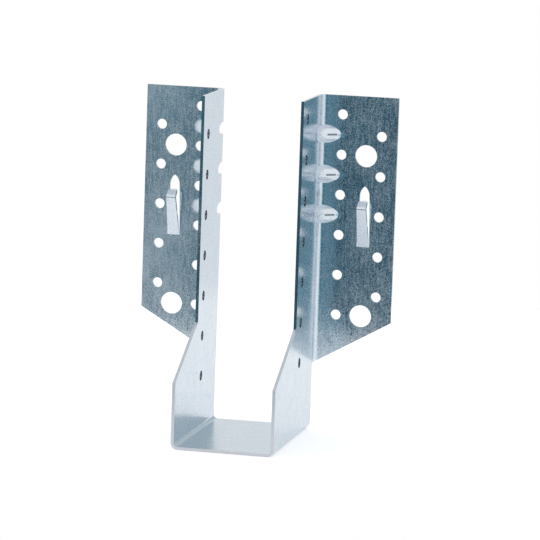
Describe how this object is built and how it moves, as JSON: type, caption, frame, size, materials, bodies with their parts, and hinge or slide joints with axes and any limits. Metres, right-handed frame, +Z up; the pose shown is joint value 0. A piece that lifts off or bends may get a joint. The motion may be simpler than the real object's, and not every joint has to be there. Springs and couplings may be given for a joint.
{
  "type": "joist hanger",
  "caption": "Face-fixed joist hanger folded from one steel sheet: seat and two walls for a 48 mm joist, out-turned nail and bolt flanges with pressed ribs and hammer-in tongues.",
  "frame": {"origin": "on the underside of the seat, midway between the two walls and midway between the seat's front edge and the header plane", "axes": "+Z up the walls, +Y into the header, X across the joist; the flanges lie against the header at the largest Y"},
  "size_m": [0.128, 0.0826, 0.1675],
  "materials": {
    "galvanised_steel": "hot-dip galvanised sheet with a fine, even spangle and a satin gloss"
  },
  "bodies": {
    "root": {"joist_hanger": "galvanised_steel"}
  },
  "joints": []
}
